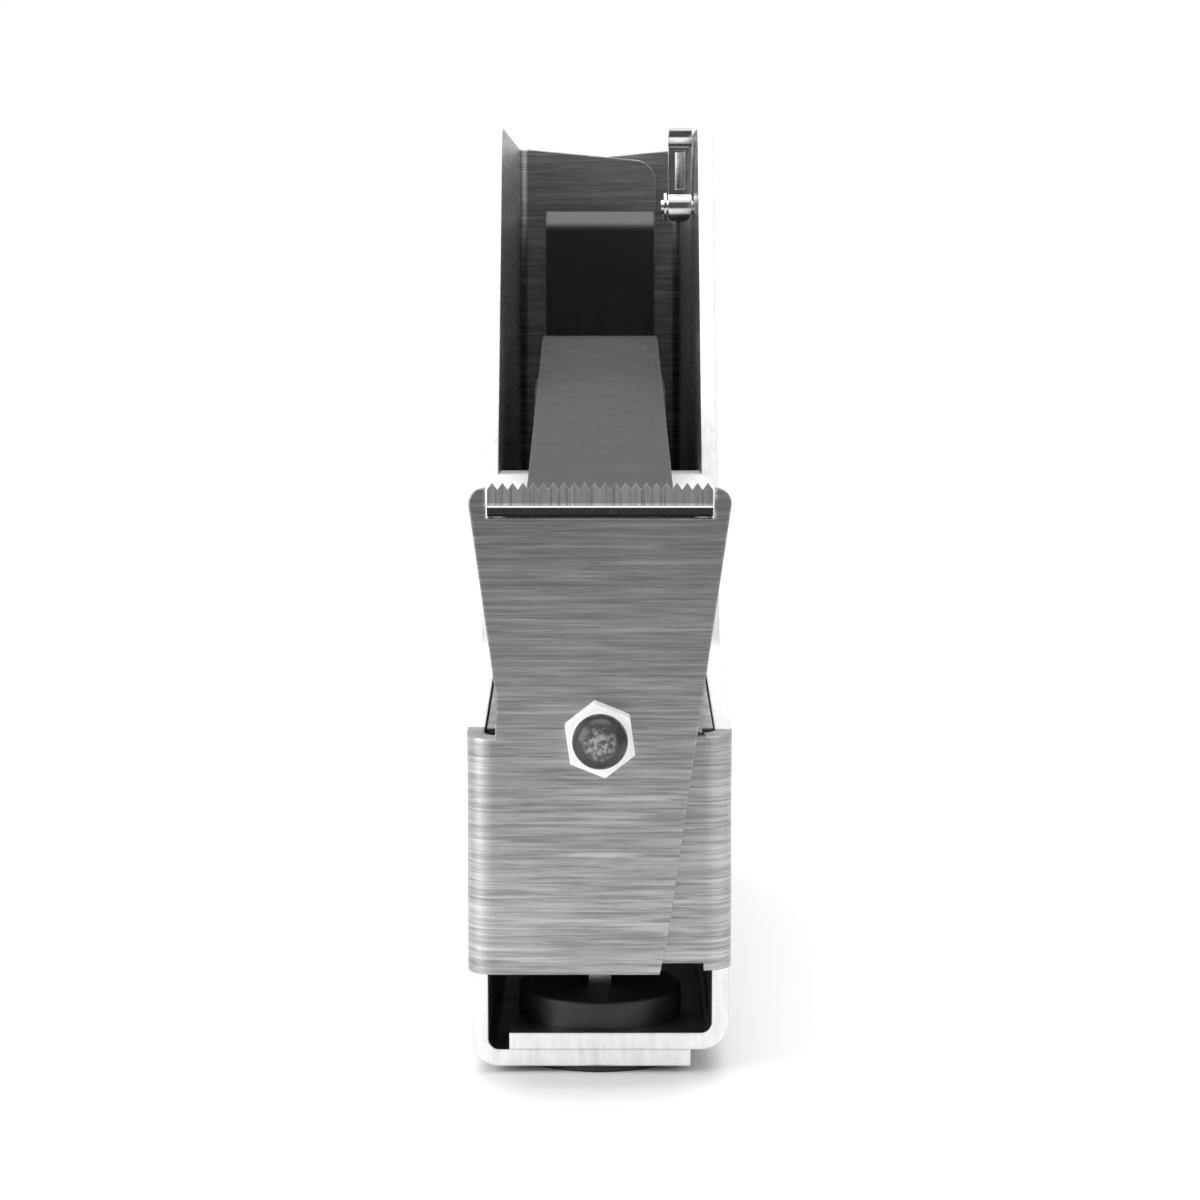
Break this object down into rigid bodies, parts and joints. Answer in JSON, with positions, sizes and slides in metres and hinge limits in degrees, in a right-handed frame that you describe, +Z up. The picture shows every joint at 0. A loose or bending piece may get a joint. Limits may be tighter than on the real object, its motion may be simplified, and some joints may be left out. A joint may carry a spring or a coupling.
{
  "type": "magnetic tape dispenser",
  "caption": "Folded steel tape dispenser with a toothed blade on a long platen, a wide cloth tape roll on a free hub, a leaf brake, a thumb lever and magnetic feet.",
  "frame": {"origin": "middle of the bounding box at the underside of the feet", "axes": "+Y runs from the blade to the rear, +Z is up, +X is to the right when facing the blade"},
  "size_m": [0.0546, 0.2314, 0.18],
  "materials": {
    "steel": "brushed",
    "chrome": "polished",
    "platen_paint": "satin",
    "black_steel": "satin",
    "tape": "matt woven",
    "core": "matt",
    "hub": "matt",
    "rubber": "matt",
    "magnet": "matt",
    "felt": "matt",
    "brass": "turned"
  },
  "bodies": {
    "frame": {"left_shell": "steel", "right_shell": "steel", "deck_plate": "steel", "blade": "chrome", "front_cap_nut": "chrome", "rear_cap_nut": "chrome", "left_spindle_nut": "chrome", "right_spindle_nut": "chrome", "front_washer": "chrome", "rear_washer": "chrome", "front_bolt": "chrome", "rear_bolt": "chrome", "spindle": "chrome", "magnet_screws": "chrome", "magnet_nuts": "chrome", "lever_pin": "chrome", "lever_clip": "chrome", "platen_rivets": "chrome", "platen": "platen_paint", "brake_leaf": "black_steel", "tape_ribbon": "tape", "left_spacer": "hub", "right_spacer": "hub", "front_foot": "rubber", "rear_foot": "rubber", "front_magnet": "magnet", "rear_magnet": "magnet", "brake_pad": "felt", "sleeve": "brass"},
    "roll": {"left_hub": "hub", "right_hub": "hub", "tape_core": "core", "tape_roll": "tape"},
    "lever": {"thumb_lever": "chrome"}
  },
  "joints": [
    {"name": "roll_spin", "type": "hinge", "parent": "frame", "child": "roll", "pos_m": [0, 0.0287, 0.0807], "axis": [1, 0, 0], "continuous": true},
    {"name": "lever_tilt", "type": "hinge", "parent": "frame", "child": "lever", "pos_m": [0.0171, 0.0115, 0.16], "axis": [-1, 0, 0], "range_deg": [0, 60]}
  ]
}
